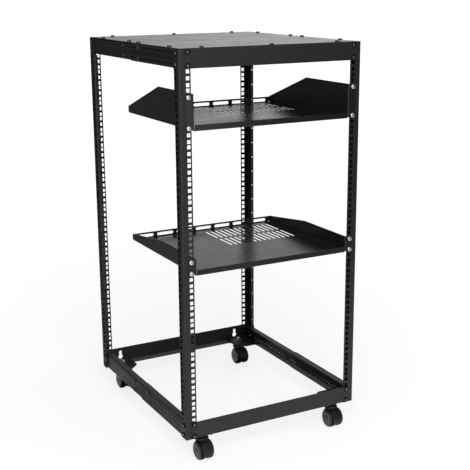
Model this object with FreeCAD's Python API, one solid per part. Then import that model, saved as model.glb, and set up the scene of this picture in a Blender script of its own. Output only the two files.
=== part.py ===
import FreeCAD, Part
import math
import os
from FreeCAD import Vector

# Open-frame rack on casters, in millimetres: X to the right, Y to the rear, Z up from the floor

# The 19-inch rack pattern: square holes in each unit of height, in two columns
UNIT_HEIGHT = 44.45
UNITS = 22
HOLE_RISE = 6.35
HOLE_SQUARE = 9.5
PANEL_WIDTH = 482.6
PANEL_HOLE_INSET = 8.75

# Frame
FRAME_DEPTH = 585.0
POST_FLANGE = 30.0
POST_LIP = 11.0
POST_SHEET = 2.0
POST_MARGIN = 1.05
HOLE_TO_POST_EDGE = 7.55
SIDE_HOLE_INSET = 19.0
LIP_HOLE = 4.0
LIP_RAIL_GAP = 2.0
SHEET = 1.5
BEND = 1.0
CHANNEL_HEIGHT = 45.0
CHANNEL_FLANGE = 20.0
BEAM_FLANGE = 25.0
BEAM_POST_GAP = 3.0
EAR_CORNER = 3.0

# Side rails: the rear half runs inside the front half, with rows of holes on one grid
RAIL_SEAM_Y = 0.0
RAIL_END_GAP = 1.0
RAIL_PAD_LENGTH = 28.0
RAIL_PAD_HEIGHT = 36.0
RAIL_HOLE_PITCH = 12.5
RAIL_HOLE_ROW = 13.0
RAIL_HOLE_HEIGHT = 5.0
RAIL_SLOT_HEIGHT = 11.0
FRONT_RAIL_HOLE_WIDTH = 6.5
FRONT_RAIL_SLOT_WIDTH = 4.0
REAR_RAIL_HOLE_WIDTH = 3.2
REAR_RAIL_SLOT_WIDTH = 2.0

# Wall keyholes in the lower rear beam
KEYHOLE_INSET = 57.0
KEYHOLE_RADIUS = 7.0
KEYHOLE_SLOT = 9.0
KEYHOLE_RISE = 15.0
KEYHOLE_DROP = 6.0

# Top panel
PANEL_GAP = 1.0
PANEL_CORNER = 4.0

# Shelves: one folded sheet each, screwed to the posts at the first and last hole along its ears
HOLES_UNDER_UPPER_SHELF = 53
HOLES_ALONG_UPPER_EAR = 5
HOLES_UNDER_LOWER_SHELF = 29
HOLES_ALONG_LOWER_EAR = 2
UPPER_EAR_HEIGHT = 88.0
LOWER_EAR_HEIGHT = 43.7
SHELF_EAR_REACH = 21.3
SHELF_DEPTH = 400.0
SHELF_FRONT_LIP = 15.0
SHELF_REAR_LIP = 17.0
SHELF_WING_TAIL = 18.0
SHELF_WING_LEVEL = 200.0
SHELF_RELIEF = 0.8
SHELF_SEAM = 0.3
EAR_STRIP = 12.0
LIP_SLOTS = 7
LIP_SLOT_MARGIN = 13.5
LIP_SLOT_BRIDGE = 10.5
LIP_SLOT_HEIGHT = 8.5
LIP_SLOT_RISE = 8.0
VENT_COLUMNS = 14
VENT_ROWS = 2
VENT_PITCH = 15.15
VENT_WIDTH = 7.5
VENT_LENGTH = 77.0
VENT_BRIDGE = 9.0
VENT_FROM_REAR = 25.0
VENT_FROM_SIDE = 27.8

# Casters and the plates that carry them
CASTER_HEIGHT = 68.0
CASTER_INSET_X = 53.0
CASTER_INSET_Y = 24.0
PLATE_SIZE = 80.0
PLATE_THICK = 3.0
PLATE_EDGE_GAP = 1.0
PLATE_CLIP = 28.0
STEM_RADIUS = 5.0
STEM_FIT = 0.1
STEM_HOLE_FIT = 0.5
STEM_RISE = 14.0
NUT_SIDES = 6
NUT_FLATS = 17.0
NUT_HEIGHT = 8.0
COLLAR_RADIUS = 13.0
COLLAR_GAP = 0.5
COLLAR_CUTOUT_GAP = 1.0
SOCKET_DEPTH = 9.0
SOCKET_FLOOR_GAP = 1.0
NECK_RADIUS = 13.0
HOOD_UNDER_FRAME = 5.5
HOOD_INSET = 6.0
HOOD_SHEET = 1.8
HOOD_CLEAR = 1.2
HOOD_EDGE = 1.5
HOOD_WEB = 6.0
HOOD_FROM_DEGREES = -20.0
HOOD_TO_DEGREES = 208.0
TRAIL = 9.5
WHEEL_RADIUS = 25.0
WHEEL_WIDTH = 15.5
WHEEL_EDGE = 5.0
WHEEL_CAP = 1.6
WHEEL_GAP = 1.5
AXLE_RADIUS = 4.0
AXLE_FIT = 0.1
HUB_RADIUS = 9.0

# How far a cutting body stands past the sheet that it goes through
OVERCUT = 2.0

# Places worked out from the sizes above
TINY = 1e-6
FULL_TURN = 360.0
BEND_OUT = BEND + SHEET
HOLE_HEIGHTS = HOLE_RISE, UNIT_HEIGHT / 2, UNIT_HEIGHT - HOLE_RISE
HOLE_X = PANEL_WIDTH / 2 - PANEL_HOLE_INSET
HALF_W = HOLE_X - HOLE_TO_POST_EDGE + POST_FLANGE
HALF_D = FRAME_DEPTH / 2
POST_FACE = HALF_D - SHEET
POST_HEIGHT = UNITS * UNIT_HEIGHT + 2 * POST_MARGIN
GRID_Z = CASTER_HEIGHT + POST_MARGIN
LOW_Z = GRID_Z + (UNIT_HEIGHT - CHANNEL_HEIGHT) / 2
HIGH_Z = LOW_Z + (UNITS - 1) * UNIT_HEIGHT
RAIL_FACE = HALF_W - POST_SHEET
RAIL_END = POST_FACE - POST_SHEET - RAIL_END_GAP
SHELF_WIDTH = PANEL_WIDTH - 2 * SHELF_EAR_REACH
KEYHOLE_X = HALF_W - KEYHOLE_INSET
CASTER_X = RAIL_FACE - CASTER_INSET_X
CASTER_Y = POST_FACE - CASTER_INSET_Y
HOOD_TOP = CASTER_HEIGHT - HOOD_UNDER_FRAME

parts = {}


def mirror_x(shape):
    return shape.mirror(Vector(0, 0, 0), Vector(1, 0, 0))


def mirror_y(shape):
    return shape.mirror(Vector(0, 0, 0), Vector(0, 1, 0))


def box(low, size):
    return Part.makeBox(size.x, size.y, size.z, low)


def hole_z(count):
    """Height of a rack hole's centre, counted up from the lowest."""
    unit, row = divmod(count, len(HOLE_HEIGHTS))
    return GRID_Z + unit * UNIT_HEIGHT + HOLE_HEIGHTS[row]


def face(corners, lift):
    """Flat face with (a, b, radius) corners, carried into space by lift(a, b)."""
    flat = [Vector(a, b, 0) for a, b, radius in corners]
    runs = []
    for index, (a, b, radius) in enumerate(corners):
        corner = flat[index]
        back = (flat[index - 1] - corner).normalize()
        ahead = (flat[(index + 1) % len(flat)] - corner).normalize()
        half = back.getAngle(ahead) / 2
        reach = radius / math.tan(half)
        inward = (back + ahead).normalize() * (radius / math.sin(half) - radius) if radius else Vector()
        runs.append((corner + back * reach, corner + inward, corner + ahead * reach))
    edges = []
    for index, (entry, middle, leave) in enumerate(runs):
        following = runs[(index + 1) % len(runs)][0]
        if corners[index][2]:
            arc = Part.Arc(lift(entry.x, entry.y), lift(middle.x, middle.y), lift(leave.x, leave.y))
            edges.append(arc.toShape())
        if (following - leave).Length > TINY:
            edges.append(Part.LineSegment(lift(leave.x, leave.y), lift(following.x, following.y)).toShape())
    return Part.Face(Part.Wire(edges))


def channel(height, flange):
    """Section of a folded channel: a runs in from the web's outer face, b runs up."""
    return [
        (0, 0, BEND_OUT),
        (flange, 0, 0),
        (flange, SHEET, 0),
        (SHEET, SHEET, BEND),
        (SHEET, height - SHEET, BEND),
        (flange, height - SHEET, 0),
        (flange, height, 0),
        (0, height, BEND_OUT),
    ]


def angle(height, flange):
    """Section of a folded angle: a runs in from the web's outer face, b runs up from the flange."""
    return [
        (0, 0, BEND_OUT),
        (flange, 0, 0),
        (flange, SHEET, 0),
        (SHEET, SHEET, BEND),
        (SHEET, height, 0),
        (0, height, 0),
    ]


def slot(length, width):
    """Outline of a slot with round ends, centred on the origin and running along a."""
    a, b = length / 2, width / 2
    return [(-a, -b, b), (a, -b, b), (a, b, b), (-a, b, b)]


# Posts: an angle with square holes in both flanges, and a return lip between the rails
def make_post(lip_holes):
    """Front left post; lip_holes says whether its lip has a small hole in each unit."""
    bend_out = BEND + POST_SHEET
    front = [(0, 0, bend_out), (POST_FLANGE, 0, 0), (POST_FLANGE, POST_SHEET, 0), (POST_SHEET, POST_SHEET, BEND)]
    plain = front + [(POST_SHEET, POST_FLANGE, 0), (0, POST_FLANGE, 0)]
    inside = POST_FLANGE - POST_SHEET
    lipped = front + [
        (POST_SHEET, inside, BEND),
        (POST_LIP, inside, 0),
        (POST_LIP, POST_FLANGE, 0),
        (0, POST_FLANGE, bend_out),
    ]
    lip_foot = LOW_Z + CHANNEL_HEIGHT + LIP_RAIL_GAP
    lip_top = HIGH_Z - LIP_RAIL_GAP
    top = CASTER_HEIGHT + POST_HEIGHT
    runs = []
    for section, low, high in (
        (plain, CASTER_HEIGHT, lip_foot),
        (lipped, lip_foot, lip_top),
        (plain, lip_top, top),
    ):
        outline = face(section, lambda a, b: Vector(a - HALF_W, b - POST_FACE, low))
        runs.append(outline.extrude(Vector(0, 0, high - low)))
    post = runs[0].fuse(runs[1:]).removeSplitter()
    half = HOLE_SQUARE / 2
    through = POST_SHEET + 2 * OVERCUT
    side_y = SIDE_HOLE_INSET - POST_FACE
    lip_low = Vector((POST_LIP - LIP_HOLE) / 2 - HALF_W, inside - OVERCUT - POST_FACE, -LIP_HOLE / 2)
    rows = len(HOLE_HEIGHTS)
    holes = []
    for count in range(UNITS * rows):
        z = hole_z(count)
        low = Vector(-HOLE_X - half, -POST_FACE - OVERCUT, z - half)
        holes.append(box(low, Vector(HOLE_SQUARE, through, HOLE_SQUARE)))
        if rows <= count < (UNITS - 1) * rows:
            low = Vector(-HALF_W - OVERCUT, side_y - half, z - half)
            holes.append(box(low, Vector(through, HOLE_SQUARE, HOLE_SQUARE)))
            if lip_holes and count % rows == rows // 2:
                holes.append(box(lip_low + Vector(0, 0, z), Vector(LIP_HOLE, through, LIP_HOLE)))
    return post.cut(Part.makeCompound(holes))


front_post = make_post(lip_holes=False)
rear_post = mirror_y(make_post(lip_holes=True))
parts["front_left_post"] = front_post
parts["front_right_post"] = mirror_x(front_post)
parts["rear_left_post"] = rear_post
parts["rear_right_post"] = mirror_x(rear_post)


# Cross beams: angles between the posts, with flat ears over the posts' faces
def make_beam(z, rise):
    """Beam with its web from z up; rise carries a height on the angle to a height on the beam."""
    run = HALF_W - POST_FLANGE - BEAM_POST_GAP
    section = face(
        angle(CHANNEL_HEIGHT, BEAM_FLANGE),
        lambda a, b: Vector(-run, a - HALF_D, z + rise(b)),
    )
    beam = section.extrude(Vector(2 * run, 0, 0))
    tip = PANEL_WIDTH / 2
    outline = [
        (run, 0, 0),
        (tip, 0, EAR_CORNER),
        (tip, CHANNEL_HEIGHT, EAR_CORNER),
        (run, CHANNEL_HEIGHT, 0),
    ]
    ear = face(outline, lambda a, b: Vector(a, -HALF_D, z + b)).extrude(Vector(0, SHEET, 0))
    return beam.fuse([ear, mirror_x(ear)]).removeSplitter()


def make_stem_cutouts():
    """Round cutouts in the lower flange, around the collars of the caster stems."""
    radius = COLLAR_RADIUS + COLLAR_CUTOUT_GAP
    depth = SHEET + 2 * OVERCUT
    feet = [Vector(side * CASTER_X, -CASTER_Y, LOW_Z - OVERCUT) for side in (-1, 1)]
    return Part.makeCompound([Part.makeCylinder(radius, depth, foot) for foot in feet])


def make_keyhole(x, z):
    along = Vector(0, 1, 0)
    depth = SHEET + 2 * OVERCUT
    centre = Vector(x, HALF_D - SHEET - OVERCUT, z)
    rise = Vector(0, 0, KEYHOLE_RISE)
    side = Vector(KEYHOLE_SLOT / 2, 0, 0)
    round_end = Part.makeCylinder(KEYHOLE_RADIUS, depth, centre, along)
    top = Part.makeCylinder(KEYHOLE_SLOT / 2, depth, centre + rise, along)
    neck = box(centre - side, Vector(KEYHOLE_SLOT, depth, KEYHOLE_RISE))
    return round_end.fuse([top, neck])


low_beam = make_beam(LOW_Z, lambda b: b).cut(make_stem_cutouts())
high_beam = make_beam(HIGH_Z, lambda b: CHANNEL_HEIGHT - b)
keyhole_z = LOW_Z + CHANNEL_HEIGHT / 2 - KEYHOLE_DROP
keyholes = [make_keyhole(side * KEYHOLE_X, keyhole_z) for side in (-1, 1)]
parts["front_lower_beam"] = low_beam
parts["front_upper_beam"] = high_beam
parts["rear_lower_beam"] = mirror_y(low_beam).cut(Part.makeCompound(keyholes))
parts["rear_upper_beam"] = mirror_y(high_beam)


# Side rails: two nested channels, the rear one packed out to meet the rear post
def make_rail_holes(z, start, end, hole_width, slot_width):
    """A row of slots between two rows of short holes, on one grid that starts at the seam."""
    middle = Vector(-RAIL_FACE, RAIL_SEAM_Y, z + CHANNEL_HEIGHT / 2)
    depth = 2 * (SHEET + OVERCUT)
    first = math.ceil((start - RAIL_SEAM_Y) / RAIL_HOLE_PITCH)
    past = math.floor((end - RAIL_SEAM_Y) / RAIL_HOLE_PITCH)
    rows = (
        (-RAIL_HOLE_ROW, hole_width, RAIL_HOLE_HEIGHT),
        (0, slot_width, RAIL_SLOT_HEIGHT),
        (RAIL_HOLE_ROW, hole_width, RAIL_HOLE_HEIGHT),
    )
    holes = []
    for column in range(first, past):
        for rise, width, height in rows:
            y = column * RAIL_HOLE_PITCH + (RAIL_HOLE_PITCH - width) / 2
            low = middle + Vector(-OVERCUT, y, rise - height / 2)
            holes.append(box(low, Vector(depth, width, height)))
    return Part.makeCompound(holes)


def make_front_rail(z):
    section = face(
        channel(CHANNEL_HEIGHT, CHANNEL_FLANGE),
        lambda a, b: Vector(a - RAIL_FACE, -RAIL_END, z + b),
    )
    rail = section.extrude(Vector(0, RAIL_SEAM_Y + RAIL_END, 0))
    return rail.cut(make_rail_holes(z, -RAIL_END, RAIL_SEAM_Y, FRONT_RAIL_HOLE_WIDTH, FRONT_RAIL_SLOT_WIDTH))


def make_rear_rail(z):
    web = RAIL_FACE - SHEET
    section = face(
        channel(CHANNEL_HEIGHT - 2 * SHEET, CHANNEL_FLANGE - SHEET),
        lambda a, b: Vector(a - web, -RAIL_END, z + SHEET + b),
    )
    rail = section.extrude(Vector(0, 2 * RAIL_END, 0))
    pad_start = RAIL_END - RAIL_PAD_LENGTH
    middle = z + CHANNEL_HEIGHT / 2
    low = Vector(-RAIL_FACE, pad_start, middle - RAIL_PAD_HEIGHT / 2)
    pad = box(low, Vector(SHEET, RAIL_PAD_LENGTH, RAIL_PAD_HEIGHT))
    holes = make_rail_holes(z, -RAIL_END, pad_start, REAR_RAIL_HOLE_WIDTH, REAR_RAIL_SLOT_WIDTH)
    return rail.fuse(pad).removeSplitter().cut(holes)


for level, z in (("lower", LOW_Z), ("upper", HIGH_Z)):
    front_rail = make_front_rail(z)
    rear_rail = make_rear_rail(z)
    parts[f"left_{level}_rail_front"] = front_rail
    parts[f"right_{level}_rail_front"] = mirror_x(front_rail)
    parts[f"left_{level}_rail_rear"] = rear_rail
    parts[f"right_{level}_rail_rear"] = mirror_x(rear_rail)


# Top panel, lying on the flanges of the upper beams and rails
def make_top_panel():
    x = RAIL_FACE - PANEL_GAP
    y = POST_FACE - POST_SHEET - PANEL_GAP
    outline = [(-x, -y, PANEL_CORNER), (x, -y, PANEL_CORNER), (x, y, PANEL_CORNER), (-x, y, PANEL_CORNER)]
    top = HIGH_Z + CHANNEL_HEIGHT
    return face(outline, lambda a, b: Vector(a, b, top)).extrude(Vector(0, 0, SHEET))


parts["top_panel"] = make_top_panel()


# Shelves: tray with lips front and rear, a wing at each side and ears in front of the posts
def make_tray(z):
    run = SHELF_WIDTH / 2 - BEND_OUT - SHELF_RELIEF
    section = [
        (0, 0, BEND_OUT),
        (SHELF_DEPTH, 0, BEND_OUT),
        (SHELF_DEPTH, SHELF_REAR_LIP, 0),
        (SHELF_DEPTH - SHEET, SHELF_REAR_LIP, 0),
        (SHELF_DEPTH - SHEET, SHEET, BEND),
        (SHEET, SHEET, BEND),
        (SHEET, SHELF_FRONT_LIP, 0),
        (0, SHELF_FRONT_LIP, 0),
    ]
    tray = face(section, lambda a, b: Vector(-run, a - HALF_D, z + b)).extrude(Vector(2 * run, 0, 0))
    lip_end = SHELF_WIDTH / 2 - SHEET - SHELF_SEAM
    low = Vector(-lip_end, SHELF_DEPTH - SHEET - HALF_D, z + BEND_OUT)
    lip = box(low, Vector(2 * lip_end, SHEET, SHELF_REAR_LIP - BEND_OUT))
    return tray.fuse(lip)


def make_wings(z, height):
    x = SHELF_WIDTH / 2
    inner = x - SHEET
    inset = BEND_OUT + SHELF_RELIEF
    section = [
        (-x, 0, BEND_OUT),
        (x, 0, BEND_OUT),
        (x, height, 0),
        (inner, height, 0),
        (inner, SHEET, BEND),
        (-inner, SHEET, BEND),
        (-inner, height, 0),
        (-x, height, 0),
    ]
    start = inset - HALF_D
    length = SHELF_DEPTH - 2 * inset
    wings = face(section, lambda a, b: Vector(a, start, z + b)).extrude(Vector(0, length, 0))
    low = Vector(inner, start + length, z + BEND_OUT)
    tail = box(low, Vector(SHEET, inset, height - BEND_OUT))
    wings = wings.fuse([tail, mirror_x(tail)])
    slope = [
        (SHELF_WING_LEVEL, height, 0),
        (SHELF_DEPTH, SHELF_WING_TAIL, 0),
        (SHELF_DEPTH, height, 0),
    ]
    reach = x + OVERCUT
    waste = face(slope, lambda a, b: Vector(-reach, a - HALF_D, z + b))
    return wings.cut(waste.extrude(Vector(2 * reach, 0, 0)))


def make_ear(z, height):
    wing = SHELF_WIDTH / 2
    section = [
        (wing - SHEET, EAR_STRIP, 0),
        (wing - SHEET, 0, BEND_OUT),
        (PANEL_WIDTH / 2, 0, 0),
        (PANEL_WIDTH / 2, SHEET, 0),
        (wing, SHEET, BEND),
        (wing, EAR_STRIP, 0),
    ]
    foot = z + BEND_OUT
    outline = face(section, lambda a, b: Vector(a, b - HALF_D, foot))
    return outline.extrude(Vector(0, 0, z + height - foot))


def make_lip_slots(z):
    room = SHELF_WIDTH - 2 * LIP_SLOT_MARGIN + LIP_SLOT_BRIDGE
    pitch = room / LIP_SLOTS
    first = LIP_SLOT_MARGIN + (pitch - LIP_SLOT_BRIDGE) / 2 - SHELF_WIDTH / 2
    start = SHELF_DEPTH - HALF_D - SHEET - OVERCUT
    slots = []
    for index in range(LIP_SLOTS):
        x = first + index * pitch
        outline = face(
            slot(pitch - LIP_SLOT_BRIDGE, LIP_SLOT_HEIGHT),
            lambda a, b: Vector(x + a, start, z + LIP_SLOT_RISE + b),
        )
        slots.append(outline.extrude(Vector(0, SHEET + 2 * OVERCUT, 0)))
    return slots


def make_vents(z):
    last = SHELF_WIDTH / 2 - VENT_FROM_SIDE - VENT_WIDTH / 2
    rear = SHELF_DEPTH - HALF_D - VENT_FROM_REAR - VENT_LENGTH
    size = Vector(VENT_WIDTH, VENT_LENGTH, SHEET + 2 * OVERCUT)
    vents = []
    for row in range(VENT_ROWS):
        for column in range(VENT_COLUMNS):
            low = Vector(last - column * VENT_PITCH, rear - row * (VENT_LENGTH + VENT_BRIDGE), z - OVERCUT)
            vents.append(box(low, size))
    return vents


def make_shelf(holes_under, holes_along, height):
    z = (hole_z(holes_under) + hole_z(holes_under + holes_along) - height) / 2
    ear = make_ear(z, height)
    sheet = make_tray(z).fuse([make_wings(z, height), ear, mirror_x(ear)]).removeSplitter()
    return sheet.cut(Part.makeCompound(make_lip_slots(z) + make_vents(z)))


parts["upper_shelf"] = make_shelf(HOLES_UNDER_UPPER_SHELF, HOLES_ALONG_UPPER_EAR, UPPER_EAR_HEIGHT)
parts["lower_shelf"] = make_shelf(HOLES_UNDER_LOWER_SHELF, HOLES_ALONG_LOWER_EAR, LOWER_EAR_HEIGHT)


# Caster plates, on the lower flanges in the corners of the frame
def make_plate(z):
    x = -(RAIL_FACE - 2 * SHEET - BEND - PLATE_EDGE_GAP)
    y = -(POST_FACE - POST_SHEET - PLATE_EDGE_GAP)
    outline = [
        (x, y, EAR_CORNER),
        (x + PLATE_SIZE, y, EAR_CORNER),
        (x + PLATE_SIZE, y + PLATE_SIZE - PLATE_CLIP, 0),
        (x + PLATE_SIZE - PLATE_CLIP, y + PLATE_SIZE, 0),
        (x, y + PLATE_SIZE, EAR_CORNER),
    ]
    plate = face(outline, lambda a, b: Vector(a, b, z)).extrude(Vector(0, 0, PLATE_THICK))
    foot = Vector(-CASTER_X, -CASTER_Y, z - OVERCUT)
    return plate.cut(Part.makeCylinder(STEM_RADIUS + STEM_HOLE_FIT, PLATE_THICK + 2 * OVERCUT, foot))


# Caster stem: pin, collar under the plate and nut above it
def make_stem(plate_z):
    x, y = -CASTER_X, -CASTER_Y
    foot = HOOD_TOP - SOCKET_DEPTH + SOCKET_FLOOR_GAP
    top = plate_z + STEM_RISE
    pin = Part.makeCylinder(STEM_RADIUS, top - foot, Vector(x, y, foot))
    collar_foot = HOOD_TOP + COLLAR_GAP
    collar = Part.makeCylinder(COLLAR_RADIUS, plate_z - collar_foot, Vector(x, y, collar_foot))
    seat = plate_z + PLATE_THICK
    step = 2 * math.pi / NUT_SIDES
    corner = NUT_FLATS / 2 / math.cos(step / 2)
    turns = [step * index for index in range(NUT_SIDES)]
    hexagon = [(x + corner * math.cos(turn), y + corner * math.sin(turn), 0) for turn in turns]
    nut = face(hexagon, lambda a, b: Vector(a, b, seat)).extrude(Vector(0, 0, NUT_HEIGHT))
    return pin.fuse([collar, nut]).removeSplitter()


# Caster hood: a shell over both wheels, with the web, neck and axle that hold them
def spin(corners, centre, start, sweep):
    """Solid of (x, radius) corners turned about the axle line, from start degrees above +Y."""
    angle = math.radians(start)
    outline = face(
        corners,
        lambda a, b: centre + Vector(a, b * math.cos(angle), b * math.sin(angle)),
    )
    return outline.revolve(centre, Vector(1, 0, 0), sweep)


def make_hood(pivot):
    axle_centre = Vector(pivot.x, pivot.y - TRAIL, WHEEL_RADIUS)
    half_width = HOOD_WEB / 2 + WHEEL_GAP + WHEEL_WIDTH
    half_hood = half_width - HOOD_INSET
    inside = WHEEL_RADIUS + HOOD_CLEAR
    outside = inside + HOOD_SHEET
    sweep = HOOD_TO_DEGREES - HOOD_FROM_DEGREES
    shell = spin(
        [
            (-half_hood, inside, 0),
            (half_hood, inside, 0),
            (half_hood, outside, HOOD_EDGE),
            (-half_hood, outside, HOOD_EDGE),
        ],
        axle_centre, HOOD_FROM_DEGREES, sweep,
    )
    web_half = HOOD_WEB / 2
    web_inner = AXLE_RADIUS / 2
    web_outer = inside + HOOD_SHEET / 2
    web = spin(
        [
            (-web_half, web_inner, 0),
            (web_half, web_inner, 0),
            (web_half, web_outer, 0),
            (-web_half, web_outer, 0),
        ],
        axle_centre, HOOD_FROM_DEGREES, sweep,
    )
    along = Vector(1, 0, 0)
    hub = Part.makeCylinder(HUB_RADIUS, HOOD_WEB, axle_centre - along * web_half, along)
    reach = half_width - WHEEL_CAP - WHEEL_GAP
    axle = Part.makeCylinder(AXLE_RADIUS, 2 * reach, axle_centre - along * reach, along)
    neck_foot = Vector(pivot.x, pivot.y, WHEEL_RADIUS)
    neck = Part.makeCylinder(NECK_RADIUS, HOOD_TOP - WHEEL_RADIUS, neck_foot)
    room = Part.makeCylinder(inside, 2 * half_width, axle_centre - along * half_width, along)
    socket_foot = Vector(pivot.x, pivot.y, HOOD_TOP - SOCKET_DEPTH)
    socket = Part.makeCylinder(STEM_RADIUS + STEM_FIT, SOCKET_DEPTH, socket_foot)
    hood = shell.fuse([web, hub, axle, neck.cut(room)]).removeSplitter()
    return hood.cut(socket)


def make_wheel(pivot, side):
    centre = Vector(pivot.x, pivot.y - TRAIL, WHEEL_RADIUS)
    inner = HOOD_WEB / 2 + WHEEL_GAP
    outer = inner + WHEEL_WIDTH
    section = [
        (inner, AXLE_RADIUS + AXLE_FIT, 0),
        (outer - WHEEL_CAP, AXLE_RADIUS + AXLE_FIT, 0),
        (outer - WHEEL_CAP, 0, 0),
        (outer, 0, 0),
        (outer, WHEEL_RADIUS, WHEEL_EDGE),
        (inner, WHEEL_RADIUS, WHEEL_EDGE / 2),
    ]
    return spin([(side * x, radius, edge) for x, radius, edge in section], centre, 0, FULL_TURN)


plate_z = LOW_Z + 2 * SHEET
for end, sign_y in (("front", -1), ("rear", 1)):
    plate = make_plate(plate_z)
    stem = make_stem(plate_z)
    if end == "rear":
        plate = mirror_y(plate)
        stem = mirror_y(stem)
    for side, sign_x in (("left", -1), ("right", 1)):
        corner = f"{end}_{side}"
        pivot = Vector(sign_x * CASTER_X, sign_y * CASTER_Y, 0)
        parts[f"{corner}_caster_plate"] = plate if side == "left" else mirror_x(plate)
        parts[f"{corner}_caster_stem"] = stem if side == "left" else mirror_x(stem)
        parts[f"{corner}_caster_hood"] = make_hood(pivot)
        parts[f"{corner}_caster_left_wheel"] = make_wheel(pivot, -1)
        parts[f"{corner}_caster_right_wheel"] = make_wheel(pivot, 1)

os.makedirs("parts", exist_ok=True)
for name, shape in parts.items():
    shape.exportStep(f"parts/{name}.step")
    print(name, shape.isValid(), len(shape.Solids), round(shape.Volume))
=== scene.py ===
import math
from collections import namedtuple

import bmesh
import bpy
from mathutils import Matrix, Vector


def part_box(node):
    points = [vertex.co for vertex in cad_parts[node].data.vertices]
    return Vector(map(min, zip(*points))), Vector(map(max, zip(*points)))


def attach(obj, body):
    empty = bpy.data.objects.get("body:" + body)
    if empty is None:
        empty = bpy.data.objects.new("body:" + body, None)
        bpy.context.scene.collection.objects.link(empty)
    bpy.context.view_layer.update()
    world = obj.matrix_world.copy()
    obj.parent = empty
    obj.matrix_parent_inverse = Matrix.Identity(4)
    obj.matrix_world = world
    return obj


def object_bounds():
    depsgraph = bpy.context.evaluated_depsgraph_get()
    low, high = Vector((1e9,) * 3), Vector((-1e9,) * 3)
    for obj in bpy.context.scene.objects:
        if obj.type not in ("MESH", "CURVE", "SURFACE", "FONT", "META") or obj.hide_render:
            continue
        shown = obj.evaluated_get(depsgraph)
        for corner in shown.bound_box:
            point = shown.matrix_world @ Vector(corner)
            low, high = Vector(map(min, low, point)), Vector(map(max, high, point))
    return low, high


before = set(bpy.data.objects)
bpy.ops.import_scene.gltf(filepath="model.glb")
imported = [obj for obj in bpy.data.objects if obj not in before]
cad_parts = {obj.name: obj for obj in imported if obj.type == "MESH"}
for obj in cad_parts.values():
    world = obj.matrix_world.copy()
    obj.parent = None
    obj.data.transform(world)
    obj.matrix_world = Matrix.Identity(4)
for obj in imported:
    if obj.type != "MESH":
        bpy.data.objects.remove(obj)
cad_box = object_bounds()

# Sizes in metres, on the rack's own frame: X to the right, Y to the rear, Z up
FLOOR_Z = cad_box[0][2]
UNIT_HEIGHT = 0.04445
HOLE_RISE = 0.00635
HOLE_X = 0.23255
POST_MARGIN = 0.00105
SHEET = 0.0015
POST_SHEET = 0.002
SIDES = ("left", -1), ("right", 1)
ENDS = ("front", -1), ("rear", 1)
BOTH_WAYS = -1, 1
LEVELS = "lower", "upper"

# Places of the fasteners, and the angle in radians from one screw's recess to the next
BEAM_BOLT_SPREAD = UNIT_HEIGHT / 2 - HOLE_RISE
RAIL_BOLT_SPREAD = 0.0127
SEAM_BOLT_Y = 0.05
SEAM_BOLT_SPREAD = 0.013
PANEL_ROW_X = -0.19, 0.0, 0.19
PANEL_ROW_INSET = 0.008
PANEL_SIDE_Y = -0.215, -0.03, 0.03, 0.215
PANEL_SIDE_INSET = 0.009
PLATE_BOLT_NEAR = 0.008
PLATE_BOLT_FAR = 0.011
SCREW_TURN = 0.9

# Rack holes that the shelves' screws go into, counted up from the lowest
SHELF_HOLES = {"upper_shelf": (53, 58), "lower_shelf": (29, 31)}

# Screws with a cross recess: outline in shares of radius and height, recess in shares of the radius
SCREW_RADIUS = 0.0055
SCREW_HEIGHT = 0.0034
SHELF_SCREW_RADIUS = 0.0062
SHELF_SCREW_HEIGHT = 0.0038
CUP_SCREW_RADIUS = 0.0042
CUP_SCREW_HEIGHT = 0.0034
PAN_HEAD = (1.0, 0.0), (1.0, 0.4), (0.95, 0.68), (0.84, 0.88), (0.68, 1.0)
RECESS_ARM = 0.5
RECESS_HALF = 0.13
RECESS_FLOOR_ARM = 0.36
RECESS_FLOOR_HALF = 0.09
RECESS_FLOOR_RISE = 0.4

# Cup washers: rim in shares of radius and height, bore in shares of the screw's radius and the height
CUP_RADIUS = 0.0072
CUP_HEIGHT = 0.0022
CUP_RIM = (0.97, 0.0), (1.0, 0.25), (0.93, 0.7), (0.8, 1.0)
CUP_BORE = (1.12, 0.94), (1.0, 0.6), (1.0, 0.0)

# Hexagon nuts on washers: shares of the width over flats and of the height
NUT_FLATS = 0.008
NUT_HEIGHT = 0.004
NUT_WAIST_RISE = 0.86
NUT_CROWN = (0.46, 1.0), (0.33, 1.0)
SCREW_END = (0.29, 0.0), (0.29, 1.35), (0.23, 1.5)
WASHER_RADIUS = 0.00648
WASHER_THICK = 0.0008
WASHER_BORE = 0.3

# Cage nuts: shares of half the cage's width and of its depth
CAGE_WIDTH = 0.0092
CAGE_DEPTH = 0.0066
CAGE_SHEET = 0.0007
CAGE_EAR = 0.002
CAGE_RISE = 0.55
CAGE_HALF_LENGTH = 0.8
CAGE_NUT_HALF = 0.86
CAGE_BORE = (0.55, 1.0), (0.5, 0.9), (0.5, CAGE_RISE)

# Casters: (radius, height) points of the wheels' dished faces, the hoods' shoulders and the rings on
# their necks, and the share of the wheel's radius where the tread begins
WHEEL_FACE = (
    (0.0197, 0.0), (0.0194, 0.0008), (0.0186, 0.0013), (0.0165, 0.0014), (0.0150, 0.0011),
    (0.0128, 0.0004), (0.0118, 0.00025), (0.0052, 0.00025), (0.0048, 0.0009), (0.0038, 0.0012),
)
SHOULDER = (
    (0.0125, 0.0515), (0.0174, 0.0515), (0.0181, 0.0524), (0.0180, 0.0545), (0.0172, 0.0568),
    (0.0160, 0.0582), (0.0142, 0.0590), (0.0125, 0.0591),
)
NECK_RING = (0.0128, 0.0592), (0.0137, 0.0594), (0.0138, 0.0600), (0.0138, 0.0620), (0.0128, 0.0622)
TREAD_FROM = 0.965

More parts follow.
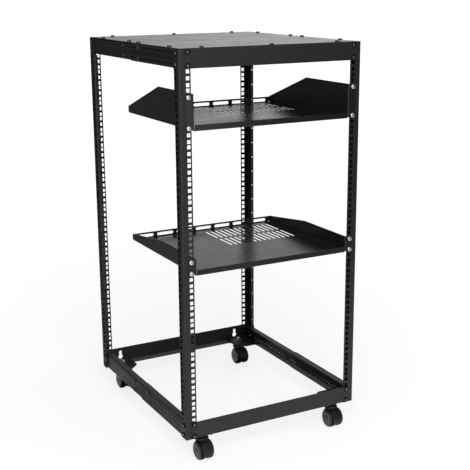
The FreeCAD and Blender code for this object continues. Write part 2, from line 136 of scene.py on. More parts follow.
# Segments of turned pieces, and the angles in degrees above which their edges are sharp
SCREW_SEGMENTS = 32
CUP_SEGMENTS = 36
WASHER_SEGMENTS = 28
CROWN_SEGMENTS = 24
SCREW_END_SEGMENTS = 20
CASTER_SEGMENTS = 48
SCREW_CREASE = 35.0
CUP_CREASE = 50.0
NUT_CREASE = 30.0
CASTER_CREASE = 60.0

# Finishes: colours at the dark and light ends of the grain, gloss, and grain in cells per metre
Finish = namedtuple("Finish", "dark light roughness specular grain")
BLACK = (0.003, 0.003, 0.0031, 1), (0.005, 0.005, 0.0051, 1)
FRAME = Finish((0.007, 0.007, 0.0073, 1), (0.013, 0.013, 0.0134, 1), 0.46, 0.46, 1500.0)
PANEL = Finish((0.010, 0.010, 0.0104, 1), (0.016, 0.016, 0.0164, 1), 0.25, 0.43, 1900.0)
BLACK_ZINC = Finish((0.010, 0.010, 0.0105, 1), (0.018, 0.018, 0.0185, 1), 0.3, 0.6, 3000.0)
NYLON = Finish(*BLACK, 0.6, 0.15, 2500.0)
HOOD = Finish((0.008, 0.008, 0.0084, 1), (0.013, 0.013, 0.0134, 1), 0.42, 0.3, 2200.0)
WHEEL = Finish((0.014, 0.014, 0.0144, 1), (0.02, 0.02, 0.0204, 1), 0.4, 0.5, 1600.0)
TREAD = Finish(*BLACK, 0.75, 0.12, 900.0)
# The next two finishes are painted shade: black for the stems under the caster plates, and for hole walls
# and faces turned into the rack
COLLAR_SHADE = Finish(*BLACK, 0.7, 0.1, 1500.0)
SHADED = Finish(*BLACK, 0.8, 0.05, 1500.0)
BRIGHT_ZINC = (0.58, 0.58, 0.59, 1), (0.78, 0.78, 0.79, 1)
GREY_ZINC = (0.1, 0.1, 0.103, 1), (0.18, 0.18, 0.183, 1)
# Painted light: paler grey that stands in for light from above on the up-facing faces low in the rack
TOP_LIGHT_TONE = 0.12, 0.12, 0.122, 1
WHITE = 1.0, 1.0, 1.0, 1

# Noise as (cells per metre, detail), relief as (strength, height), and how far the gloss drifts
NOISE_LOW = 0.3
NOISE_HIGH = 0.7
COAT_DETAIL = 2.0
COAT_DRIFT = 14.0, 3.0
COAT_GLOSS_DRIFT = 0.03
COAT_RELIEF = 0.12, 0.0002
PLASTIC_DETAIL = 3.0
PLASTIC_DRIFT = 60.0, 2.0
PLASTIC_GLOSS_DRIFT = 0.06
PLASTIC_RELIEF = 0.1, 0.0002
ZINC_CLOUD = 260.0, 3.0
ZINC_STREAK = 2600.0, 1.0
ZINC_ROUGHNESS = 0.24, 0.36
ZINC_RELIEF = 0.05, 0.0001
FLAG_WEAVE = 40.0, 2.0

# Where the painted shade and painted light go: half the height of a rail's rows of holes, the distance at
# which a point counts as on a face, the reach of a post's folds, the painted light's rise above the lower
# beams' feet, and the part of a normal along an axis from which a face counts as turned that way
HOLE_ROWS_HALF = 0.0192
SKIN = 0.0002
FOLD_REACH = 0.0036
TOP_LIGHT_RISE = 0.006
FACING = 0.5

# Surround: white in reflections falls to CEILING_LEVEL as a direction's Z goes between the two values,
# and to BACK_LEVEL as its X nears BACK_MIDDLE; AMBIENT is the grey that lights matte surfaces
AMBIENT = 0.3
CEILING_FROM = 0.08
CEILING_TO = 0.48
CEILING_LEVEL = 0.45
BACK_MIDDLE = 0.25
BACK_REACH = 0.3
BACK_LEVEL = 0.44

# Floor: its matte grey, and the glow that whitens it from near the rack outwards
FLOOR_TONE = 0.42, 0.42, 0.42, 1
FLOOR_REACH = 20.0
GLOW_FROM = 0.4
GLOW_TO = 3.5
GLOW_NEAR = 0.75
GLOW_FAR = 0.95

# Studio flags that stand around the rack or lie on the floor, and lamps that face its middle
FLAG_LIFT = 0.002
FLAG_AIM_Z = 1
FLAG_DARK = 0.9
FLAG_LIGHT = 1.1
LAMP_AIM = 0, 0, 0.5

# Camera: the nearest one without shift to the photograph's
CAMERA_PLACE = Vector((-1.2342, -2.3737, 1.2017))
CAMERA_AZIMUTH = math.radians(-28.34)
CAMERA_ELEVATION = math.radians(14.51)
CAMERA_ROLL = math.radians(-0.39)
CAMERA_LENS = 75.66
CAMERA_SENSOR = 36.0


# Shader nodes
def feed(tree, socket, value):
    """Link a socket to another, or set a plain value on it."""
    if isinstance(value, bpy.types.NodeSocket):
        tree.links.new(value, socket)
    else:
        socket.default_value = value


def noise(tree, scale, detail):
    """Noise texture in object space, with its scale in cells per metre."""
    texture = tree.nodes.new("ShaderNodeTexNoise")
    texture.inputs["Scale"].default_value = scale
    texture.inputs["Detail"].default_value = detail
    where = tree.nodes.new("ShaderNodeTexCoord")
    tree.links.new(where.outputs["Object"], texture.inputs["Vector"])
    return texture.outputs["Fac"]


def ramp(tree, value, start, end, first, last):
    """Straight ramp from first to last, as a value goes from start to end."""
    node = tree.nodes.new("ShaderNodeMapRange")
    node.inputs["From Min"].default_value = start
    node.inputs["From Max"].default_value = end
    node.inputs["To Min"].default_value = first
    node.inputs["To Max"].default_value = last
    tree.links.new(value, node.inputs["Value"])
    return node.outputs["Result"]


def spread(tree, factor, low, high):
    """Noise stretched from its usual range to low..high."""
    return ramp(tree, factor, NOISE_LOW, NOISE_HIGH, low, high)


def blend(tree, factor, first, second):
    """Colour between two, each a socket or a plain colour."""
    node = tree.nodes.new("ShaderNodeMix")
    node.data_type = "RGBA"
    feed(tree, node.inputs["A"], first)
    feed(tree, node.inputs["B"], second)
    tree.links.new(factor, node.inputs["Factor"])
    return node.outputs["Result"]


def bump(tree, shader, texture, strength, height):
    node = tree.nodes.new("ShaderNodeBump")
    node.inputs["Strength"].default_value = strength
    node.inputs["Distance"].default_value = height
    tree.links.new(texture, node.inputs["Height"])
    tree.links.new(node.outputs["Normal"], shader.inputs["Normal"])


def calc(tree, operation, *values):
    """Math node on sockets or plain numbers."""
    node = tree.nodes.new("ShaderNodeMath")
    node.operation = operation
    for socket, value in zip(node.inputs, values):
        feed(tree, socket, value)
    return node.outputs["Value"]


def vector_length(tree, vector):
    node = tree.nodes.new("ShaderNodeVectorMath")
    node.operation = "LENGTH"
    tree.links.new(vector, node.inputs[0])
    return node.outputs["Value"]


def axes_of(tree, vector):
    """X, Y and Z of a vector socket."""
    node = tree.nodes.new("ShaderNodeSeparateXYZ")
    tree.links.new(vector, node.inputs["Vector"])
    return node.outputs["X"], node.outputs["Y"], node.outputs["Z"]


def surface_axes(tree, output):
    """X, Y and Z of the surface's Position or True Normal."""
    return axes_of(tree, tree.nodes.new("ShaderNodeNewGeometry").outputs[output])


# Materials
def new_material(name):
    material = bpy.data.materials.new(name)
    material.use_nodes = True
    tree = material.node_tree
    return material, tree, tree.nodes["Principled BSDF"]


def powder_coat(name, finish):
    """Black powder coat: fine orange peel, with a slow drift in gloss."""
    material, tree, shader = new_material(name)
    fine = noise(tree, finish.grain, COAT_DETAIL)
    slow = noise(tree, *COAT_DRIFT)
    color = blend(tree, spread(tree, fine, 0.0, 1.0), finish.dark, finish.light)
    low, high = finish.roughness - COAT_GLOSS_DRIFT, finish.roughness + COAT_GLOSS_DRIFT
    tree.links.new(color, shader.inputs["Base Color"])
    tree.links.new(spread(tree, slow, low, high), shader.inputs["Roughness"])
    shader.inputs["Specular IOR Level"].default_value = finish.specular
    bump(tree, shader, fine, *COAT_RELIEF)
    return material


def moulded_plastic(name, finish):
    """Black moulded plastic with a fine spark-eroded grain, and a slow drift in tone."""
    material, tree, shader = new_material(name)
    fine = noise(tree, finish.grain, PLASTIC_DETAIL)
    slow = noise(tree, *PLASTIC_DRIFT)
    color = blend(tree, spread(tree, slow, 0.0, 1.0), finish.dark, finish.light)
    low, high = finish.roughness - PLASTIC_GLOSS_DRIFT, finish.roughness + PLASTIC_GLOSS_DRIFT
    tree.links.new(color, shader.inputs["Base Color"])
    tree.links.new(spread(tree, fine, low, high), shader.inputs["Roughness"])
    shader.inputs["Specular IOR Level"].default_value = finish.specular
    bump(tree, shader, fine, *PLASTIC_RELIEF)
    return material


def zinc(name, dark, light):
    """Zinc plate with fine streaks and cloudy patches."""
    material, tree, shader = new_material(name)
    cloud = noise(tree, *ZINC_CLOUD)
    streak = noise(tree, *ZINC_STREAK)
    color = blend(tree, spread(tree, cloud, 0.0, 1.0), dark, light)
    tree.links.new(color, shader.inputs["Base Color"])
    tree.links.new(spread(tree, streak, *ZINC_ROUGHNESS), shader.inputs["Roughness"])
    shader.inputs["Metallic"].default_value = 1.0
    bump(tree, shader, streak, *ZINC_RELIEF)
    return material


def coat_over(material, mask, finish):
    """Second coat over a material, where the mask is 1."""
    tree = material.node_tree
    coat = tree.nodes.new("ShaderNodeBsdfPrincipled")
    color = blend(tree, noise(tree, finish.grain, COAT_DETAIL), finish.dark, finish.light)
    tree.links.new(color, coat.inputs["Base Color"])
    coat.inputs["Roughness"].default_value = finish.roughness
    coat.inputs["Specular IOR Level"].default_value = finish.specular
    both = tree.nodes.new("ShaderNodeMixShader")
    tree.links.new(mask, both.inputs["Fac"])
    tree.links.new(tree.nodes["Principled BSDF"].outputs["BSDF"], both.inputs[1])
    tree.links.new(coat.outputs["BSDF"], both.inputs[2])
    tree.links.new(both.outputs["Shader"], tree.nodes["Material Output"].inputs["Surface"])


def paint_collar_shade(material):
    """Painted shade: black coat on what lies below the caster plates, where the plates shade the stems."""
    tree = material.node_tree
    height = surface_axes(tree, "Position")[2]
    plate_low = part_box("front_left_caster_plate")[0]
    coat_over(material, calc(tree, "LESS_THAN", height, plate_low.z), COLLAR_SHADE)


def blacken_tread(material):
    """Black rubber on the wheel's tread."""
    tree = material.node_tree
    # Generated coordinates run from 0 to 1 over the wheel's box, so its axle lies at 0.5
    spoke = tree.nodes.new("ShaderNodeVectorMath")
    spoke.operation = "MULTIPLY_ADD"
    spoke.inputs[1].default_value = (0, 2, 2)
    spoke.inputs[2].default_value = (0, -1, -1)
    where = tree.nodes.new("ShaderNodeTexCoord")
    tree.links.new(where.outputs["Generated"], spoke.inputs[0])
    radius = vector_length(tree, spoke.outputs["Vector"])
    coat_over(material, calc(tree, "GREATER_THAN", radius, TREAD_FROM), TREAD)


def paint_flange_top_light(material):
    """Painted light: paler coat on top of the lower flanges, as if lit from above."""
    tree = material.node_tree
    color = tree.nodes["Principled BSDF"].inputs["Base Color"]
    bare_color = color.links[0].from_socket
    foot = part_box("rear_lower_beam")[0].z
    near_foot = calc(tree, "LESS_THAN", surface_axes(tree, "Position")[2], foot + TOP_LIGHT_RISE)
    level_face = calc(tree, "GREATER_THAN", surface_axes(tree, "True Normal")[2], FACING)
    top_lit = calc(tree, "MULTIPLY", level_face, near_foot)
    tree.links.new(blend(tree, top_lit, bare_color, TOP_LIGHT_TONE), color)


def shade_rail_holes(material, level):
    """Painted shade: black on the hole walls in the rails' webs, and on the sheet where one half lies
    behind the other.
    """
    tree = material.node_tree
    low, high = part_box(f"left_{level}_rail_front")
    web = -low.x
    x, y, z = surface_axes(tree, "Position")
    depth = calc(tree, "ABSOLUTE", x)
    outward = calc(tree, "ABSOLUTE", surface_axes(tree, "True Normal")[0])
    in_web = calc(tree, "GREATER_THAN", depth, web - 2 * SHEET + SKIN)
    wall = calc(tree, "MULTIPLY", in_web, calc(tree, "LESS_THAN", outward, FACING))
    between = calc(tree, "COMPARE", depth, web - SHEET, SKIN)
    covered = calc(tree, "MULTIPLY", between, calc(tree, "LESS_THAN", y, high.y - SKIN))
    rise = calc(tree, "ABSOLUTE", calc(tree, "SUBTRACT", z, (low.z + high.z) / 2))
    in_rows = calc(tree, "LESS_THAN", rise, HOLE_ROWS_HALF)
    mask = calc(tree, "MULTIPLY", in_rows, calc(tree, "MAXIMUM", wall, covered))
    coat_over(material, mask, SHADED)


def shade_posts(material):
    """Painted shade: black inside the posts, on their hole walls and on the faces turned in, up to the
    folds.
    """
    tree = material.node_tree
    low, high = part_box("front_left_post")
    middle = -(low.y + high.y) / 2
    half = (high.y - low.y) / 2
    x, y = surface_axes(tree, "Position")[:2]
    across = calc(tree, "ABSOLUTE", x)
    off_middle = calc(tree, "ABSOLUTE", calc(tree, "SUBTRACT", calc(tree, "ABSOLUTE", y), middle))
    below_face = calc(tree, "LESS_THAN", across, -low.x - SKIN)
    past_edge = calc(tree, "GREATER_THAN", across, -high.x + SKIN)
    between = calc(tree, "LESS_THAN", off_middle, half - SKIN)
    inside = calc(tree, "MULTIPLY", between, calc(tree, "MULTIPLY", below_face, past_edge))
    near_face = calc(tree, "GREATER_THAN", across, -low.x - FOLD_REACH)
    near_end = calc(tree, "GREATER_THAN", off_middle, half - FOLD_REACH)
    fold = calc(tree, "MULTIPLY", near_face, near_end)
    coat_over(material, calc(tree, "GREATER_THAN", inside, fold), SHADED)


frame_coat = powder_coat("frame_powder_coat", FRAME)
rail_coats = {level: powder_coat(f"{level}_rail_powder_coat", FRAME) for level in LEVELS}
post_coat = powder_coat("post_powder_coat", FRAME)
low_beam_coat = powder_coat("low_beam_powder_coat", FRAME)
panel_coat = powder_coat("panel_powder_coat", PANEL)
black_zinc = powder_coat("black_zinc_fasteners", BLACK_ZINC)
black_nylon = powder_coat("black_nylon", NYLON)
bright_zinc = zinc("bright_zinc", *BRIGHT_ZINC)
grey_zinc = zinc("grey_zinc", *GREY_ZINC)
stem_zinc = zinc("stem_zinc", *BRIGHT_ZINC)
hood_plastic = moulded_plastic("hood_plastic", HOOD)
face_plastic = moulded_plastic("wheel_face_plastic", WHEEL)
wheel_plastic = moulded_plastic("wheel_plastic", WHEEL)

# Painted shade on the stems under the caster plates
paint_collar_shade(stem_zinc)
blacken_tread(wheel_plastic)
# Painted shade inside the posts
shade_posts(post_coat)
# Painted shade in the rails' holes and on the covered sheet
for level in LEVELS:
    shade_rail_holes(rail_coats[level], level)
# Painted light from above on the up-facing faces of the lower flanges and beams
paint_flange_top_light(rail_coats["lower"])
paint_flange_top_light(low_beam_coat)


looks = {
    "_post": post_coat,
    "_lower_beam": low_beam_coat,
    "_panel": panel_coat,
    "_shelf": panel_coat,
    "_stem": stem_zinc,
    "_hood": hood_plastic,
    "_wheel": wheel_plastic,
}


def look_of(node):
    """Material of a CAD node: by its rail's level, by the end of its name, or else the frame's coat."""
    for level in LEVELS:
        if f"_{level}_rail_" in node:
            return rail_coats[level]
    for ending, material in looks.items():
        if node.endswith(ending):
            return material
    return frame_coat


for node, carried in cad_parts.items():
    for slot in carried.material_slots:
        slot.material = look_of(node)


# Small meshes, each with its seat at the origin and pointing along +Z
def join_rings(bm, lower, upper):
    """Wall of quads between two rings of as many points."""
    for index in range(len(lower)):
        after = (index + 1) % len(lower)
        bm.faces.new((lower[index], lower[after], upper[after], upper[index]))


def lathe(bm, profile, segments):
    """Rings of (radius, height) points joined into a wall; returns the rings."""
    rings = []
    for radius, height in profile:
        ring = []
        for index in range(segments):
            angle = 2 * math.pi * index / segments
            ring.append(bm.verts.new((radius * math.cos(angle), radius * math.sin(angle), height)))
        rings.append(ring)
    for lower, upper in zip(rings, rings[1:]):
        join_rings(bm, lower, upper)
    return rings


def scaled(profile, radius, height, seat=0.0):
    """Outline in shares of a radius and a height, as sizes above a seat."""
    return [(radius * across, seat + height * rise) for across, rise in profile]


def ring_edges(bm, ring):
    return [bm.edges.get((a, b)) or bm.edges.new((a, b)) for a, b in zip(ring, ring[1:] + ring[:1])]


def fill_between(bm, outer, inner):
    """Flat face between two rings."""
    edges = ring_edges(bm, outer) + ring_edges(bm, inner)
    bmesh.ops.triangle_fill(bm, use_beauty=True, edges=edges)


def cross_ring(bm, arm, half, height):
    """Outline of a cross recess."""
    quarter = (arm, -half), (arm, half), (half, half)
    ring = []
    for turn in range(4):
        angle = math.pi / 2 * turn
        for x, y in quarter:
            ring.append(bm.verts.new((
                x * math.cos(angle) - y * math.sin(angle),
                x * math.sin(angle) + y * math.cos(angle),
                height,
            )))
    return ring


def hex_ring(bm, flats, height):
    """Corners of a hexagon of the given width over flats."""
    corner = flats / 2 / math.cos(math.pi / 6)
    ring = []
    for turn in range(6):
        angle = math.pi / 3 * turn
        ring.append(bm.verts.new((corner * math.cos(angle), corner * math.sin(angle), height)))
    return ring


def to_mesh(bm, name, crease):
    bmesh.ops.recalc_face_normals(bm, faces=bm.faces)
    mesh = bpy.data.meshes.new(name)
    bm.to_mesh(mesh)
    bm.free()
    mesh.shade_smooth()
    mesh.set_sharp_from_angle(angle=math.radians(crease))
    return mesh


def pan_head(name, radius, height):
    """Pan-head screw with a cross recess."""
    bm = bmesh.new()
    rings = lathe(bm, scaled(PAN_HEAD, radius, height), SCREW_SEGMENTS)
    mouth = cross_ring(bm, radius * RECESS_ARM, radius * RECESS_HALF, height)
    fill_between(bm, rings[-1], mouth)
    floor_rise = height * RECESS_FLOOR_RISE
    floor = cross_ring(bm, radius * RECESS_FLOOR_ARM, radius * RECESS_FLOOR_HALF, floor_rise)
    join_rings(bm, mouth, floor)
    bm.faces.new(floor)
    return to_mesh(bm, name, SCREW_CREASE)


def cup_washer(name, radius, height, bore):
    """Finishing washer: a dished ring around the screw head."""
    bm = bmesh.new()
    lathe(bm, scaled(CUP_RIM, radius, height) + scaled(CUP_BORE, bore, height), CUP_SEGMENTS)
    return to_mesh(bm, name, CUP_CREASE)


def hex_nut(name, flats, height):
    """Hexagon nut on a washer, with the screw's end standing out of it."""
    bm = bmesh.new()
    bore = flats * WASHER_BORE
    washer = (bore, 0.0), (WASHER_RADIUS, 0.0), (WASHER_RADIUS, WASHER_THICK), (bore, WASHER_THICK)
    lathe(bm, washer, WASHER_SEGMENTS)
    low = hex_ring(bm, flats, WASHER_THICK)
    waist = hex_ring(bm, flats, WASHER_THICK + height * NUT_WAIST_RISE)
    crown = lathe(bm, scaled(NUT_CROWN, flats, height, WASHER_THICK), CROWN_SEGMENTS)
    join_rings(bm, low, waist)
    fill_between(bm, waist, crown[0])
    end = lathe(bm, scaled(SCREW_END, flats, height, WASHER_THICK), SCREW_END_SEGMENTS)
    bm.faces.new(end[-1])
    return to_mesh(bm, name, NUT_CREASE)


def cage_nut(name, width, depth):
    """Square nut held in a folded spring cage."""
    bm = bmesh.new()
    outer = width / 2
    rise = depth * CAGE_RISE
    ear, fold, top = outer + CAGE_EAR, outer + CAGE_SHEET, rise + CAGE_SHEET
    profile = [
        (-ear, 0.0), (-outer, 0.0), (-outer, rise), (outer, rise), (outer, 0.0), (ear, 0.0),
        (ear, CAGE_SHEET), (fold, CAGE_SHEET), (fold, top),
        (-fold, top), (-fold, CAGE_SHEET), (-ear, CAGE_SHEET),
    ]
    length = outer * CAGE_HALF_LENGTH
    caps = [[bm.verts.new((x, y, z)) for x, z in profile] for y in (-length, length)]
    join_rings(bm, *caps)
    for cap in caps:
        bm.faces.new(cap)
    half = outer * CAGE_NUT_HALF
    corners = (-half, -half), (half, -half), (half, half), (-half, half)
    base, face = [[bm.verts.new((x, y, z)) for x, y in corners] for z in (top, depth)]
    join_rings(bm, base, face)
    bore = lathe(bm, scaled(CAGE_BORE, outer, depth), CROWN_SEGMENTS)
    fill_between(bm, face, bore[0])
    return to_mesh(bm, name, NUT_CREASE)


def lathe_mesh(name, profile, capped=False):
    """Turned piece of a caster, closed at the end of its outline where it is capped."""
    bm = bmesh.new()
    rings = lathe(bm, profile, CASTER_SEGMENTS)
    if capped:
        bm.faces.new(rings[-1])
    return to_mesh(bm, name, CASTER_CREASE)


# Pieces from the meshes
def place(point, normal, spin=0.0):
    turn = Vector((0, 0, 1)).rotation_difference(Vector(normal)).to_matrix().to_4x4()
    return Matrix.Translation(Vector(point)) @ turn @ Matrix.Rotation(spin, 4, "Z")


def turned(points, normal):
    """Places for like screws, each turned a little further than the last."""
    return [place(point, normal, SCREW_TURN * index) for index, point in enumerate(points)]


def scatter(name, mesh, places, material, body="frame"):
    """One object from a mesh set at each place, riding on one body."""
    bm = bmesh.new()
    for matrix in places:
        known = len(bm.verts)
        bm.from_mesh(mesh)
        bm.verts.ensure_lookup_table()
        bmesh.ops.transform(bm, matrix=matrix, verts=bm.verts[known:])
    joined = bpy.data.meshes.new(name)
    bm.to_mesh(joined)
    bm.free()
    joined.materials.append(material)
    piece = bpy.data.objects.new(name, joined)
    bpy.context.scene.collection.objects.link(piece)
    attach(piece, body)


def hole_z(count):
    """Height of a rack hole's centre, counted up from the lowest."""
    unit, row = divmod(count, 3)
    heights = HOLE_RISE, UNIT_HEIGHT / 2, UNIT_HEIGHT - HOLE_RISE
    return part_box("front_left_post")[0].z + POST_MARGIN + unit * UNIT_HEIGHT + heights[row]


screw = pan_head("black_screw", SCREW_RADIUS, SCREW_HEIGHT)
cup = cup_washer("cup_washer", CUP_RADIUS, CUP_HEIGHT, CUP_SCREW_RADIUS)
cup_screw = pan_head("cup_screw", CUP_SCREW_RADIUS, CUP_SCREW_HEIGHT)
nut = hex_nut("black_nut", NUT_FLATS, NUT_HEIGHT)


def fasten_beams():
    """Screws in cup washers that hold the beams' ears to the posts, with nuts behind."""
    for end, out in ENDS:
        heads = []
        backs = []
        for level in LEVELS:
            low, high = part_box(f"{end}_{level}_beam")
            middle = (low.z + high.z) / 2
            face_y = low.y if out < 0 else high.y
            back_y = face_y - out * (SHEET + POST_SHEET)
            for sign in BOTH_WAYS:
                for step in BOTH_WAYS:
                    z = middle + step * BEAM_BOLT_SPREAD
                    heads.append((sign * HOLE_X, face_y, z))
                    backs.append((sign * HOLE_X, back_y, z))
        scatter(f"{end}_beam_washers", cup, turned(heads, (0, out, 0)), black_nylon)
        scatter(f"{end}_beam_screws", cup_screw, turned(heads, (0, out, 0)), grey_zinc)
        scatter(f"{end}_beam_nuts", nut, turned(backs, (0, -out, 0)), black_zinc)


def fasten_rails():
    """Bolts that hold the rails to the posts and the rail halves to each other, with nuts inside."""
    for side, sign in SIDES:
        heads = []
        seams = []
        backs = []
        for level in LEVELS:
            low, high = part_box(f"{side}_{level}_rail_front")
            middle = (low.z + high.z) / 2
            web = low.x if sign < 0 else high.x
            inside = web - sign * 2 * SHEET
            for end, out in ENDS:
                post_low, post_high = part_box(f"{end}_{side}_post")
                post_y = (post_low.y + post_high.y) / 2
                post_face = post_low.x if sign < 0 else post_high.x
                seam_y = high.y + out * SEAM_BOLT_Y
                seam_face = web if out < 0 else web - sign * SHEET
                for step in BOTH_WAYS:
                    post_z = middle + step * RAIL_BOLT_SPREAD
                    seam_z = middle + step * SEAM_BOLT_SPREAD
                    heads.append((post_face, post_y, post_z))
                    seams.append((seam_face, seam_y, seam_z))
                    backs += [(inside, post_y, post_z), (inside, seam_y, seam_z)]
        scatter(f"{side}_rail_washers", cup, turned(heads, (sign, 0, 0)), black_nylon)
        scatter(f"{side}_rail_screws", cup_screw, turned(heads, (sign, 0, 0)), grey_zinc)
        scatter(f"{side}_seam_bolts", screw, turned(seams, (sign, 0, 0)), black_zinc)
        scatter(f"{side}_rail_nuts", nut, turned(backs, (-sign, 0, 0)), black_zinc)


def fasten_panel():
    """Screws through the top panel, with nuts under the flanges."""
    low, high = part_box("top_panel")
    row_y = low.y + PANEL_ROW_INSET, high.y - PANEL_ROW_INSET
    side_x = low.x + PANEL_SIDE_INSET, high.x - PANEL_SIDE_INSET
    ends = [(x, y) for y in row_y for x in PANEL_ROW_X]
    sides = [(x, y) for x in side_x for y in PANEL_SIDE_Y]
    heads = [(x, y, high.z) for x, y in ends + sides]
    backs = [(x, y, low.z - SHEET) for x, y in ends]
    backs += [(x, y, low.z - 2 * SHEET) for x, y in sides]
    scatter("top_panel_screws", screw, turned(heads, (0, 0, 1)), black_zinc)
    scatter("top_panel_nuts", nut, turned(backs, (0, 0, -1)), black_zinc)


def fasten_plates():
    """Screws that hold the caster plates to the flanges, with nuts below."""
    heads = []
    backs = []
    for end, out in ENDS:
        for side, sign in SIDES:
            low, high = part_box(f"{end}_{side}_caster_plate")
            rail_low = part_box(f"{side}_lower_rail_{end}")[0]
            beam_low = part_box(f"{end}_lower_beam")[0]
            inner_x, outer_x = (low.x, high.x) if sign > 0 else (high.x, low.x)
            inner_y, outer_y = (low.y, high.y) if out > 0 else (high.y, low.y)
            on_rail = outer_x - sign * PLATE_BOLT_NEAR, inner_y + out * PLATE_BOLT_FAR
            on_beam = inner_x + sign * PLATE_BOLT_FAR, outer_y - out * PLATE_BOLT_NEAR
            heads += [(*on_rail, high.z), (*on_beam, high.z)]
            backs += [(*on_rail, rail_low.z), (*on_beam, beam_low.z)]
    scatter("caster_plate_screws", screw, turned(heads, (0, 0, 1)), black_zinc)
    scatter("caster_plate_nuts", nut, turned(backs, (0, 0, -1)), black_zinc)


def fasten_shelves():
    """Bright screws at the shelves' ears, in cage nuts behind the posts."""
    head = pan_head("shelf_screw", SHELF_SCREW_RADIUS, SHELF_SCREW_HEIGHT)
    cage = cage_nut("shelf_cage_nut", CAGE_WIDTH, CAGE_DEPTH)
    for shelf, counts in SHELF_HOLES.items():
        face_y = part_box(shelf)[0].y
        back_y = face_y + SHEET + POST_SHEET
        spots = [(sign * HOLE_X, hole_z(count)) for count in counts for sign in BOTH_WAYS]
        heads = turned([(x, face_y, z) for x, z in spots], (0, -1, 0))
        cages = [place((x, back_y, z), (0, 1, 0)) for x, z in spots]
        scatter(f"{shelf}_screws", head, heads, bright_zinc)
        scatter(f"{shelf}_cage_nuts", cage, cages, bright_zinc)


def dress_casters():
    """Dished faces on the wheels, shoulders that carry the hoods up to their stems, and neck rings."""
    disc = lathe_mesh("wheel_face", WHEEL_FACE, capped=True)
    shoulder = lathe_mesh("hood_shoulder", SHOULDER)
    ring = lathe_mesh("neck_ring", NECK_RING)
    for caster in [f"{end}_{side}_caster" for end, _ in ENDS for side, _ in SIDES]:
        low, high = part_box(f"{caster}_stem")
        foot = Matrix.Translation(((low.x + high.x) / 2, (low.y + high.y) / 2, FLOOR_Z))
        scatter(f"{caster}_shoulder", shoulder, [foot], hood_plastic, caster)
        scatter(f"{caster}_neck_ring", ring, [foot], black_nylon, caster)
        for hand, turn in SIDES:
            wheel = f"{caster}_{hand}_wheel"
            low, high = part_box(wheel)
            hub = high.x if turn > 0 else low.x, (low.y + high.y) / 2, (low.z + high.z) / 2
            on_wheel = [place(hub, (turn, 0, 0))]
            scatter(f"{wheel}_face", disc, on_wheel, face_plastic, wheel)


fasten_beams()
fasten_rails()
fasten_panel()
fasten_plates()
fasten_shelves()
dress_casters()


# Studio
def seen_ray(tree):
    """1 where a ray from the camera, a reflection or a clear surface looks."""
    path = tree.nodes.new("ShaderNodeLightPath")
    first = calc(tree, "MAXIMUM", path.outputs["Is Camera Ray"], path.outputs["Is Glossy Ray"])
    return calc(tree, "MAXIMUM", first, path.outputs["Is Transmission Ray"])


def studio_falloff(tree):
    """1 for the camera; in reflections less towards the ceiling and towards the back wall's middle."""
    direction = tree.nodes.new("ShaderNodeTexCoord").outputs["Generated"]
    x, _, z = axes_of(tree, direction)
    ceiling = ramp(tree, z, CEILING_FROM, CEILING_TO, 1.0, CEILING_LEVEL)
    aside = calc(tree, "ABSOLUTE", calc(tree, "SUBTRACT", x, BACK_MIDDLE))
    back = ramp(tree, aside, 0.0, BACK_REACH, BACK_LEVEL, 1.0)
    path = tree.nodes.new("ShaderNodeLightPath")
    return calc(tree, "MAXIMUM", path.outputs["Is Camera Ray"], calc(tree, "MINIMUM", ceiling, back))


def make_world():
    """White surround for what the camera and reflections see, and soft grey light for the rest."""
    world = bpy.data.worlds.new("studio")
    bpy.context.scene.world = world
    world.use_nodes = True
    tree = world.node_tree
    surround = tree.nodes["Background"]
    surround.inputs["Color"].default_value = WHITE
    tree.links.new(studio_falloff(tree), surround.inputs["Strength"])
    ambient = tree.nodes.new("ShaderNodeBackground")
    ambient.inputs["Color"].default_value = WHITE
    ambient.inputs["Strength"].default_value = AMBIENT
    both = tree.nodes.new("ShaderNodeMixShader")
    tree.links.new(seen_ray(tree), both.inputs["Fac"])
    tree.links.new(ambient.outputs["Background"], both.inputs[1])
    tree.links.new(surround.outputs["Background"], both.inputs[2])
    tree.links.new(both.outputs["Shader"], tree.nodes["World Output"].inputs["Surface"])


def flat_sheet(name, width, height, material):
    """Flat rectangle about its own origin, marked as part of the stage."""
    half, rise = width / 2, height / 2
    corners = (-half, -rise), (half, -rise), (half, rise), (-half, rise)
    bm = bmesh.new()
    bm.faces.new([bm.verts.new((x, y, 0)) for x, y in corners])
    mesh = bpy.data.meshes.new(name)
    bm.to_mesh(mesh)
    bm.free()
    mesh.materials.append(material)
    sheet = bpy.data.objects.new(name, mesh)
    bpy.context.scene.collection.objects.link(sheet)
    return sheet


def make_floor():
    """Pale floor that reads white where it is lit and keeps the rack's shadow."""
    material, tree, shader = new_material("pale_floor")
    tree.nodes.remove(shader)
    matte = tree.nodes.new("ShaderNodeBsdfDiffuse")
    matte.inputs["Color"].default_value = FLOOR_TONE
    away = vector_length(tree, tree.nodes.new("ShaderNodeTexCoord").outputs["Object"])
    level = ramp(tree, away, GLOW_FROM, GLOW_TO, GLOW_NEAR, GLOW_FAR)
    glow = tree.nodes.new("ShaderNodeEmission")
    glow.inputs["Color"].default_value = WHITE
    tree.links.new(calc(tree, "MULTIPLY", seen_ray(tree), level), glow.inputs["Strength"])
    both = tree.nodes.new("ShaderNodeAddShader")
    tree.links.new(matte.outputs["BSDF"], both.inputs[0])
    tree.links.new(glow.outputs["Emission"], both.inputs[1])
    tree.links.new(both.outputs["Shader"], tree.nodes["Material Output"].inputs["Surface"])
    floor = flat_sheet("floor", 2 * FLOOR_REACH, 2 * FLOOR_REACH, material)
    floor.location.z = FLOOR_Z


def facing(spot, target, axis):
    """Turn that points an object's axis from its spot to a target."""
    return (Vector(target) - Vector(spot)).to_track_quat(axis, "Y").to_euler()


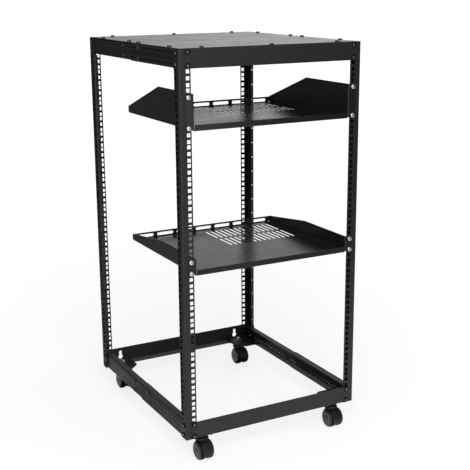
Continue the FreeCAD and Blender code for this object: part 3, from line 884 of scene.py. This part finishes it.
def make_flag(name, spot, target, width, height, tone):
    """Grey studio flag of about the given tone, seen only in reflections."""
    material, tree, shader = new_material("flag_cloth")
    dark, light = [(share * tone, share * tone, share * tone, 1) for share in (FLAG_DARK, FLAG_LIGHT)]
    tree.links.new(blend(tree, noise(tree, *FLAG_WEAVE), dark, light), shader.inputs["Base Color"])
    shader.inputs["Roughness"].default_value = 1.0
    shader.inputs["Specular IOR Level"].default_value = 0.0
    flag = flat_sheet(name, width, height, material)
    flag.location = spot
    flag.rotation_euler = facing(spot, target, "Z")
    flag.visible_camera = False
    flag.visible_diffuse = False
    flag.visible_shadow = False


def make_floor_flag(name, x, y, width, height, tone):
    """Flag that lies just above the floor."""
    make_flag(name, (x, y, FLAG_LIFT), (x, y, FLAG_AIM_Z), width, height, tone)


def add_lamp(name, spot, width, height, power):
    """Area lamp that faces the rack's middle."""
    lamp = bpy.data.lights.new(name, "AREA")
    lamp.shape = "RECTANGLE"
    lamp.size = width
    lamp.size_y = height
    lamp.energy = power
    holder = bpy.data.objects.new(name, lamp)
    holder.location = spot
    holder.rotation_euler = facing(spot, LAMP_AIM, "-Z")
    bpy.context.scene.collection.objects.link(holder)


def make_camera():
    lens = bpy.data.cameras.new("camera")
    lens.sensor_width = CAMERA_SENSOR
    lens.lens = CAMERA_LENS
    camera = bpy.data.objects.new("camera", lens)
    turn, tilt, roll = CAMERA_AZIMUTH, CAMERA_ELEVATION, CAMERA_ROLL
    right = Vector((math.cos(turn), math.sin(turn), 0))
    back = Vector((math.sin(turn) * math.cos(tilt), -math.cos(turn) * math.cos(tilt), math.sin(tilt)))
    up = back.cross(right)
    across = right * math.cos(roll) + up * math.sin(roll)
    upward = up * math.cos(roll) - right * math.sin(roll)
    camera_axes = Matrix((across, upward, back)).transposed().to_4x4()
    camera.matrix_world = Matrix.Translation(CAMERA_PLACE) @ camera_axes
    bpy.context.scene.collection.objects.link(camera)
    bpy.context.scene.camera = camera


make_world()
make_floor()
make_flag("left_flag", (-0.857, 1.945, 1.2), (0.343, 0.245, 1.2), width=4.04, height=2.38, tone=0.24)
make_flag("right_flag", (1.78, -1.2, 1.31), (0.13, -0.09, 1.31), width=2.8, height=2.6, tone=0.05)
# Dark sheets under the rack, seen only in reflections: painted shadow of the rack on the floor
make_floor_flag("rear_painted_floor_shadow", 0.01, 0.14, width=0.62, height=0.24, tone=0.02)
make_floor_flag("right_painted_floor_shadow", 0.15, -0.08, width=0.34, height=0.2, tone=0.02)
make_floor_flag("left_floor_flag", -1.24, 0.9, width=1.78, height=2.4, tone=0.54)
make_floor_flag("right_floor_flag", 1.3, -1.85, width=2.4, height=1.8, tone=0.62)
add_lamp("key", (-1.2, -2.9, 2.4), width=2.2, height=1.8, power=70.0)
add_lamp("fill", (2.6, -1.8, 1.8), width=2.0, height=2.0, power=10.0)
make_camera()
bpy.context.scene.view_settings.view_transform = "Standard"
